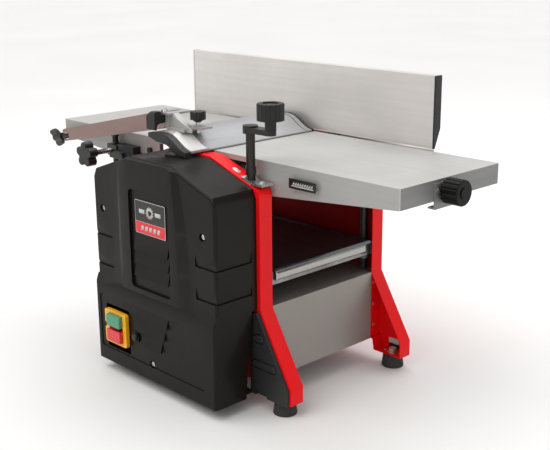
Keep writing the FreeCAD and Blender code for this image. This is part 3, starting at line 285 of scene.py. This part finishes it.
CLEAN_PLASTIC = {"grain": 900.0, "depth": 0.00002, "dust": 0.0}
CLEAN_PRINT = {"grain": 900.0, "depth": 0.00001, "dust": 0.0, "coat": 0.1}
yellow_look = plastic("switch_yellow", (0.86, 0.40, 0.010), (0.24, 0.36), coat=0.2, **CLEAN_PLASTIC)
green_look = plastic("switch_green", (0.045, 0.26, 0.15), (0.22, 0.34), coat=0.3, **CLEAN_PLASTIC)
stop_look = plastic("switch_red", (0.66, 0.020, 0.030), (0.22, 0.34), coat=0.3, **CLEAN_PLASTIC)
white_look = plastic("badge_white_print", (0.50, 0.50, 0.48), (0.3, 0.4), **CLEAN_PRINT)
badge_red_look = plastic("badge_red_print", (0.62, 0.018, 0.026), (0.28, 0.4), **CLEAN_PRINT)
badge_black_look = plastic("badge_black_print", (0.012, 0.008, 0.008), (0.28, 0.4), **CLEAN_PRINT)

LOOKS = {
    "side_panel_front": red_look, "side_panel_rear": red_look, "base_tray": base_look,
    "feet": rubber_look, "motor_cover": cover_look, "cover_badge": badge_black_look,
    "leg_covers": trim_look, "rear_cover": trim_look, "switch_body": knob_look,
    "switch_frame": yellow_look, "start_button": green_look, "stop_button": stop_look,
    "reset_button": knob_look, "cable_gland": knob_look, "pins_and_bolts": plated_look,
    "outfeed_table": table_look, "infeed_table": table_look, "infeed_bracket": shaded_end_and_bracket_look,
    "depth_knob": depth_knob_look, "depth_crossbar": black_look,
    "fence": fence_look, "fence_caps": trim_look,
    "fence_bracket": black_look, "fence_quadrant": black_look, "fence_lock_lever": knob_look,
    "guard_bracket": black_look, "guard_post": black_look, "guard_arm": arm_look,
    "arm_lock_knob": knob_look, "post_lock_knob": knob_look, "guard_head": knob_look,
    "guard_holder": saddle_look, "guard": guard_look, "guard_caps": trim_look,
    "guard_clamp_knob": knob_look, "cutter_block": cast_look, "knives": ground_look,
    "knife_wedges": gear_look, "cutter_bearings": ground_look, "bearing_blocks": iron_look,
    "feed_roller_in": gear_look, "feed_roller_out": ground_look, "feed_gear_1": gear_look,
    "feed_gear_2": gear_look, "feed_gear_3": gear_look, "feed_chain": gear_look,
    "drive_belt": rubber_look, "motor_body": iron_look, "motor_rotor": gear_look,
    "kickback_pawls": gear_look, "bed": cast_look, "bed_plate": bed_dark_reflection_look,
    "crank_screw": crank_look, "crank_arm": crank_look,
    "lift_screw_2": screw_look, "lift_screw_3": screw_look, "lift_screw_4": screw_look,
    "crank_knob": knob_look, "lift_chain": gear_look, "screw_plates": plated_look,
}

# Width of the rounded edges of each CAD node, in millimetres.
SOFT_EDGES = {
    "outfeed_table": 0.9, "infeed_table": 0.9, "fence": 0.7, "side_panel_front": 0.5,
    "side_panel_rear": 0.5, "base_tray": 1.2, "motor_cover": 1.7,
    "leg_covers": 0.8, "rear_cover": 0.8,
    "switch_body": 0.6, "switch_frame": 0.9, "start_button": 0.8, "stop_button": 0.8,
    "guard": 0.4, "guard_caps": 0.6, "guard_holder": 0.4, "guard_head": 0.8,
    "guard_bracket": 0.7, "guard_arm": 0.5, "bed": 0.8, "bed_plate": 0.4, "crank_screw": 0.5,
    "crank_arm": 0.7, "screw_plates": 0.4, "fence_caps": 0.5,
    "fence_bracket": 0.5, "fence_quadrant": 0.5, "infeed_bracket": 0.4, "depth_knob": 0.5,
    "crank_knob": 0.5, "post_lock_knob": 0.6, "arm_lock_knob": 0.5, "guard_clamp_knob": 0.4,
    "fence_lock_lever": 0.5, "depth_crossbar": 0.5, "motor_body": 0.8, "bearing_blocks": 0.6,
    "feet": 0.6, "cable_gland": 0.5, "pins_and_bolts": 0.25, "reset_button": 0.4,
    "guard_post": 0.4,
}
WELD_GAP = 0.01
SHARP_DEGREES = 38


def soften(item, width, segments=2):
    """Round the sharp edges by width in millimetres, so that they catch the light."""
    weld = item.modifiers.new("weld", "WELD")
    weld.merge_threshold = WELD_GAP * MM
    bevel = item.modifiers.new("bevel", "BEVEL")
    bevel.width = width * MM
    bevel.segments = segments
    bevel.limit_method = "ANGLE"
    bevel.angle_limit = math.radians(SHARP_DEGREES)
    bevel.use_clamp_overlap = True
    weighted = item.modifiers.new("weighted", "WEIGHTED_NORMAL")
    weighted.keep_sharp = False


for name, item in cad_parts.items():
    item.data.materials.clear()
    item.data.materials.append(LOOKS[name])
    for face in item.data.polygons:
        face.use_smooth = True
    if name in SOFT_EDGES:
        soften(item, SOFT_EDGES[name])


def recolour(node, look, wanted):
    """Give the faces whose middle, in millimetres, is wanted a second finish."""
    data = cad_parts[node].data
    data.materials.append(look)
    for face in data.polygons:
        if wanted(face.center / MM):
            face.material_index = len(data.materials) - 1


BED_PLATE_END = 140.05      # beyond this the bed plate is its nose bars
NOSE_BAR_TOP = 196.7        # above this a nose bar is the bed's lip
TABLE_SIDE, TABLE_END = 104.8, 368.3

recolour("pins_and_bolts", black_look, lambda c: c.x < -100 and c.y < -104 and c.z > 300)
recolour("guard_clamp_knob", plated_look, lambda c: c.z < 391.9)
recolour("fence_caps", fence_look, lambda c: c.x < -200 and c.y < 113.5)
recolour("bed_plate", bar_look, lambda c: abs(c.x) > BED_PLATE_END and c.z < NOSE_BAR_TOP)
recolour("bed_plate", lip_look, lambda c: abs(c.x) > BED_PLATE_END and c.z >= NOSE_BAR_TOP)
recolour("guard_holder", strip_look, lambda c: c.x > -27 and c.z < 379.5 and c.y < -116.4)
recolour("guard_holder", plated_look, lambda c: c.z > 404.35)
recolour("post_lock_knob", plated_look, lambda c: c.y > -139.5)
recolour("arm_lock_knob", plated_look, lambda c: c.x > -325)
recolour("feed_roller_out", gear_look, lambda c: abs(c.y) > 104)
for table in ("infeed_table", "outfeed_table"):
    # The tables' long sides get the darker copy: painted shade.
    recolour(table, shaded_side_look, lambda c: abs(c.y) > TABLE_SIDE)
    # The tables' ends get the darker copy: painted shade.
    recolour(table, shaded_end_and_bracket_look, lambda c: abs(c.x) > TABLE_END)
# The rear panel's inner wall gets the darker red: painted shade.
recolour("side_panel_rear", red_shade_inside_look,
         lambda c: c.y < 129.1 and abs(c.x) < 144 and c.z > 150)


# ---------------------------------------------------------------- added pieces

def new_object(name, data):
    item = bpy.data.objects.new(name, data)
    bpy.context.scene.collection.objects.link(item)
    return item


def finish_piece(name, bm, look, body, bevel, segments=2):
    """Turn a bmesh into a piece that rides a body. A bevel of 0 leaves its edges sharp."""
    mesh = bpy.data.meshes.new(name)
    bmesh.ops.recalc_face_normals(bm, faces=bm.faces)
    bm.to_mesh(mesh)
    bm.free()
    item = new_object(name, mesh)
    mesh.materials.append(look)
    for face in mesh.polygons:
        face.use_smooth = True
    if bevel:
        soften(item, bevel, segments)
    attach(item, body)


def extrude(bm, outline, push):
    """Closed prism from a planar outline, pushed along a vector. Points are in millimetres."""
    low = [bm.verts.new(Vector(p) * MM) for p in outline]
    high = [bm.verts.new((Vector(p) + Vector(push)) * MM) for p in outline]
    bm.faces.new(low)
    bm.faces.new(list(reversed(high)))
    for i in range(len(low)):
        j = (i + 1) % len(low)
        bm.faces.new([low[j], low[i], high[i], high[j]])


def rounded(x0, x1, z0, z1, r, steps=5):
    """Rounded rectangle in two coordinates, in millimetres."""
    points = []
    corners = ((x1 - r, z1 - r, 0), (x0 + r, z1 - r, 90), (x0 + r, z0 + r, 180),
               (x1 - r, z0 + r, 270))
    for cx, cz, start in corners:
        for i in range(steps + 1):
            a = math.radians(start + 90 * i / steps)
            points.append((cx + r * math.cos(a), cz + r * math.sin(a)))
    return points


PLATE_BEVEL = 0.1


def plates(name, outlines, y, thick, look, body, bevel=0):
    """Thin sheets standing in the XZ plane whose fronts are towards -Y. Millimetres."""
    bm = bmesh.new()
    for outline in outlines:
        extrude(bm, [(x, y, z) for x, z in outline], (0, -thick, 0))
    finish_piece(name, bm, look, body, bevel)


def plate(name, outline, y, thick, look, body):
    """One such sheet with slightly rounded edges."""
    plates(name, [outline], y, thick, look, body, PLATE_BEVEL)


def cutter_sign(x, z, r, teeth):
    """Outline of a plain toothed wheel."""
    points = []
    root = r * 0.78
    for i in range(teeth):
        for part, radius in ((0.0, r), (0.35, r), (0.5, root), (0.85, root)):
            a = 2 * math.pi * (i + part) / teeth
            points.append((x + radius * math.cos(a), z + radius * math.sin(a)))
    return points


def slanted(x, z, wide, tall, lean):
    """Outline of a dash that leans to the right."""
    return [(x, z), (x + wide, z), (x + wide + lean, z + tall), (x + lean, z + tall)]


def badge():
    """Two-tone badge: dark upper field with a toothed wheel, red lower field, thin pale rim."""
    low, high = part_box("cover_badge")
    x0, z0, x1, z1 = low.x / MM, low.z / MM, high.x / MM, high.z / MM
    y = low.y / MM
    split = z0 + 0.36 * (z1 - z0)
    middle = (x0 + x1) / 2
    wheel_z = split + 0.32 * (z1 - z0)
    rim, half_gap, sheet, print_thick = 0.8, 0.3, 0.35, 0.25
    field_y, print_y, hub_y = y - 0.2, y - 0.5, y - 0.7
    plate("badge_rim", rounded(x0, x1, z0, z1, 1.5), y, sheet, white_look, "frame")
    plate("badge_upper", rounded(x0 + rim, x1 - rim, split + half_gap, z1 - rim, 0.8),
          field_y, sheet, badge_black_look, "frame")
    plate("badge_lower", rounded(x0 + rim, x1 - rim, z0 + rim, split - half_gap, 0.8),
          field_y, sheet, badge_red_look, "frame")
    plates("badge_wheel", [cutter_sign(middle, wheel_z, 9.0, 12)],
           print_y, print_thick, white_look, "frame")
    plates("badge_hub", [cutter_sign(middle, wheel_z, 4.4, 3)],
           hub_y, print_thick, badge_black_look, "frame")
    near, far, half_tall = 12, 25, 3
    boards = [rounded(middle + a, middle + b, wheel_z - half_tall, wheel_z + half_tall, 1.0)
              for a, b in ((-far, -near), (near, far))]
    plates("badge_boards", boards, print_y, print_thick, white_look, "frame")
    dash_pitch, dash_count = 9.4, 5
    dashes = [slanted(middle - 22 + dash_pitch * i, z0 + 5.4, 5.6, 7.0, 2.0)
              for i in range(dash_count)]
    plates("badge_dashes", dashes, print_y, 0.2, white_look, "frame")


def table_label():
    """Small dark plate on the infeed table's skirt, with a row of plain saw teeth."""
    low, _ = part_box("infeed_table")
    y = low.y / MM - 0.02
    thick = 0.7
    plate("label_plate", rounded(183.7, 233.5, 327.0, 340.7, 1.0),
          y, thick, badge_black_look, "infeed")
    first, pitch, count, foot, tip = 190.0, 4.2, 9, 332.5, 336.8
    teeth = []
    for i in range(count):
        x = first + pitch * i
        teeth.append([(x, foot), (x + pitch, foot), (x + pitch, tip)])
    teeth.append(rounded(188.5, 229.5, 330.2, 331.6, 0.4))
    plates("label_teeth", teeth, y - thick, 0.2, white_look, "infeed")


def shoulder_insert():
    """Plated oval plug in the red shoulder beside the crank."""
    along = Vector((98.0, 0.0, -34.0)).normalized()
    across = Vector((0.0, 1.0, 0.0))
    up = along.cross(across)
    centre = Vector((89.0, -119.5, 337.75))
    half_long, half_wide, corner, sunk, thick = 7.5, 3.6, 3.5, 0.2, 0.9
    oval = rounded(-half_long, half_long, -half_wide, half_wide, corner, 6)
    bm = bmesh.new()
    extrude(bm, [centre + along * px + across * py - up * sunk for px, py in oval], up * thick)
    finish_piece("shoulder_plug", bm, plated_look, "frame", 0.25)


def ring(bm, x, y, z0, z1, outer, inner, sides):
    """Upright ring with a round hole and as many flat sides outside as stated, or round for 0."""
    count = 48
    loops = []
    for z in (z0, z1):
        for radius, shaped in ((outer, True), (inner, False)):
            loop = []
            for i in range(count):
                a = 2 * math.pi * i / count
                r = radius
                if shaped and sides:
                    half = math.pi / sides
                    r = radius * math.cos(half) / math.cos(a % (2 * half) - half)
                point = Vector((x + r * math.cos(a), y + r * math.sin(a), z))
                loop.append(bm.verts.new(point * MM))
            loops.append(loop)
    low_out, low_in, high_out, high_in = loops
    for a, b in ((low_out, high_out), (high_out, high_in), (high_in, low_in), (low_in, low_out)):
        for i in range(count):
            j = (i + 1) % count
            bm.faces.new([a[i], a[j], b[j], b[i]])


def foot_nuts():
    """Plated plate and nut on the inside of each leg's foot, round the bench-bolt hole."""
    bolt_x, bolt_y, hole = 182.7, 118.8, 3.4
    plate_foot, plate_top, nut_top = 21.65, 23.2, 28.6
    for index, (sx, sy) in enumerate(((1, 1), (1, -1), (-1, 1), (-1, -1))):
        x, y = sx * bolt_x, sy * bolt_y
        bm = bmesh.new()
        ring(bm, x, y, plate_foot, plate_top, 8.2, hole, 0)
        ring(bm, x, y, plate_top, nut_top, 6.2, hole, 6)
        finish_piece("foot_nut_" + str(index + 1), bm, plated_look, "frame", 0.3)


def bed_stop():
    """Black bolt and washer at the rear of the infeed nose bar."""
    washer_x, head_x, middle_y, middle_z, r = 140.3, 142.4, 91.0, 187.0, 5.2
    bm = bmesh.new()
    washer = rounded(85.0, 99.0, 181.0, 193.5, 2.0)
    extrude(bm, [(washer_x, y, z) for y, z in washer], (2.2, 0, 0))
    turns = [math.pi * i / 3 for i in range(6)]
    head = [(middle_y + r * math.cos(a), middle_z + r * math.sin(a)) for a in turns]
    extrude(bm, [(head_x, y, z) for y, z in head], (4.2, 0, 0))
    finish_piece("bed_end_bolt", bm, black_look, "thickness_bed", 0.4)


def slot_shade_block():
    """Dark block under the slot of the guard holder's top tab: painted shade, so that the slot
    reads dark.
    """
    foot, tall = 399.2, 5.2
    bm = bmesh.new()
    outline = rounded(-60.9, -55.1, -121.8, -100.2, 2.8)
    extrude(bm, [(x, y, foot) for x, y in outline], (0, 0, tall))
    finish_piece("holder_slot_shade_block", bm, black_look, "guard_tilt", 0.3)


def fence_foot():
    """Thin foot of the fence's front wall, reaching below the table top behind its rear edge.

    Its lower edge steps up over the red panel's top and over the two hinge bases.
    """
    low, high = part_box("fence_caps")
    left, right, front = low.x / MM + 0.1, high.x / MM - 0.1, low.y / MM
    top, deep, over_panel, over_hinge = 356.6, 351.5, 353.4, 355.5
    steps = [(left, -132.4, deep), (-132.4, -107.6, over_hinge), (-107.6, -56, deep),
             (-56, 47.6, over_panel), (47.6, 72.4, over_hinge), (72.4, right, deep)]
    outline = [(x, z) for x0, x1, z in steps for x in (x0, x1)] + [(right, top), (left, top)]
    thick = 1.2
    bm = bmesh.new()
    extrude(bm, [(x, front, z) for x, z in outline], (0, thick, 0))
    finish_piece("fence_foot", bm, fence_look, "fence", 0)


# The top of the guard's sheet, seen from its end: x and z in millimetres.
GUARD_LINE = [(-27, 379.0), (-16, 376.8), (-7, 372.2), (1.5, 366.8), (10, 362.0), (17, 359.4),
              (23.5, 357.9)]


def guard_seams():
    """Fine dark seams across the guard, where its end strips overlap the middle sheet."""
    above, below, wide = 0.3, 0.4, 1.3
    for index, y in enumerate((-114.6, 88.0)):
        bm = bmesh.new()
        upper = [(x, y, z + above) for x, z in GUARD_LINE]
        lower = [(x, y, z - below) for x, z in reversed(GUARD_LINE)]
        extrude(bm, upper + lower, (0, wide, 0))
        finish_piece("guard_seam_" + str(index + 1), bm, trim_look,
                     "guard_cover", 0)


def leg_pads():
    """Raised oval pads in the recesses of the front leg covers."""
    floor_y, thick, inset, half_tall, corner = -134.7, 3.4, 1.6, 5.4, 5.3
    recesses = ((138, 159, 107.0), (134, 183, 68.0))
    pads = [(side, *recess) for side in (1, -1) for recess in recesses]
    for index, (side, x0, x1, z) in enumerate(pads):
        bm = bmesh.new()
        shape = rounded(x0 + inset, x1 - inset, z - half_tall, z + half_tall, corner, 10)
        if side < 0:
            shape = [(-px, pz) for px, pz in reversed(shape)]
        extrude(bm, [(px, floor_y, pz) for px, pz in shape], (0, -thick, 0))
        finish_piece("leg_pad_" + str(index + 1), bm, trim_look, "frame", 1.3, 4)


def leg_label():
    """Small plain pale label with a dark foot, on the inside of the rear infeed leg."""
    left, right, low, split, high = 166.5, 187.0, 24.0, 30.7, 39.6
    wall_y, thick, corner = 128.9, 0.4, 1.0
    plate("leg_label", rounded(left, right, split, high, corner), wall_y, thick,
          white_look, "frame")
    plate("leg_label_foot", rounded(left + 1, right, low, split, corner), wall_y, thick,
          badge_black_look, "frame")


badge()
# Dark block in the holder's slot: painted shade.
slot_shade_block()
fence_foot()
guard_seams()
leg_pads()
leg_label()
table_label()
shoulder_insert()
foot_nuts()
bed_stop()


# ---------------------------------------------------------------- floor, light, camera

FLOOR_HALF = 40.0


def stage():
    """Wide pale floor."""
    mesh = bpy.data.meshes.new("floor")
    bm = bmesh.new()
    corners = [bm.verts.new((x * FLOOR_HALF, y * FLOOR_HALF, 0.0))
               for x, y in ((-1, -1), (1, -1), (1, 1), (-1, 1))]
    bm.faces.new(corners)
    bm.to_mesh(mesh)
    bm.free()
    floor = new_object("floor", mesh)
    look = Look("pale_floor")
    clouds = look.noise(1.5, 3.0)
    look.color(look.blend(clouds, (0.76, 0.76, 0.755), (0.78, 0.78, 0.775)))
    look.roughness(clouds, 0.6, 0.75)
    mesh.materials.append(look.material)


def sky():
    """Pale world: bright at the horizon, dimmer just above it, then brighter towards the top."""
    glow, dim = 0.95, 0.38
    glow_height, dim_height, bright_height = 0.09, 0.14, 0.8
    world = bpy.data.worlds.new("studio")
    bpy.context.scene.world = world
    world.use_nodes = True
    tree = world.node_tree
    background = tree.nodes["Background"]
    background.inputs["Color"].default_value = (1.0, 0.995, 0.99, 1.0)
    place = tree.nodes.new("ShaderNodeTexCoord")
    split = tree.nodes.new("ShaderNodeSeparateXYZ")
    climb = tree.nodes.new("ShaderNodeValToRGB")
    stops = climb.color_ramp.elements
    stops[0].position = glow_height
    stops[0].color = (glow, glow, glow, 1.0)
    stops[1].position = bright_height
    stops.new(dim_height).color = (dim, dim, dim, 1.0)
    tree.links.new(place.outputs["Generated"], split.inputs[0])
    tree.links.new(split.outputs["Z"], climb.inputs["Fac"])
    tree.links.new(climb.outputs["Color"], background.inputs["Strength"])
    bpy.context.scene.view_settings.view_transform = "Standard"


def sun(name, toward, strength, spread, tint):
    """Sun that shines along toward, with its disc spread in degrees."""
    data = bpy.data.lights.new(name, "SUN")
    data.energy = strength
    data.angle = math.radians(spread)
    data.color = tint
    item = new_object(name, data)
    item.rotation_euler = Vector(toward).to_track_quat("-Z", "Y").to_euler()


def lamp(name, place, target, size, power):
    """Rectangular lamp that faces target, in metres and watts."""
    data = bpy.data.lights.new(name, "AREA")
    data.shape = "RECTANGLE"
    data.size, data.size_y = size
    data.energy = power
    item = new_object(name, data)
    item.location = place
    item.rotation_euler = (Vector(target) - Vector(place)).to_track_quat("-Z", "Y").to_euler()


CAMERA_PLACE = (1.1084, -1.0271, 0.6412)
CAMERA_FORWARD = (-0.6937, 0.6675, -0.2706)
CAMERA_ROLL_DEGREES = -0.44
SENSOR_MM, LENS_MM, CLIP_START_M = 36.0, 65.45, 0.05


def camera():
    """Camera built from its place, its forward direction and a small roll."""
    data = bpy.data.cameras.new("camera")
    data.sensor_width = SENSOR_MM
    data.lens = LENS_MM
    data.clip_start = CLIP_START_M
    item = new_object("camera", data)
    forward = Vector(CAMERA_FORWARD).normalized()
    right = forward.cross(Vector((0, 0, 1))).normalized()
    up = right.cross(forward)
    turn = Matrix((right, up, -forward)).transposed()
    roll = Matrix.Rotation(math.radians(CAMERA_ROLL_DEGREES), 4, "Z")
    item.matrix_world = Matrix.Translation(CAMERA_PLACE) @ turn.to_4x4() @ roll
    bpy.context.scene.camera = item


stage()
sky()
sun("key", (0.25, 0.75, -1.25), 1.5, 50.0, (1.0, 0.985, 0.96))
lamp("top", (-0.3, 0.9, 2.4), (0, 0, 0.3), (2.2, 1.4), 20.0)
camera()
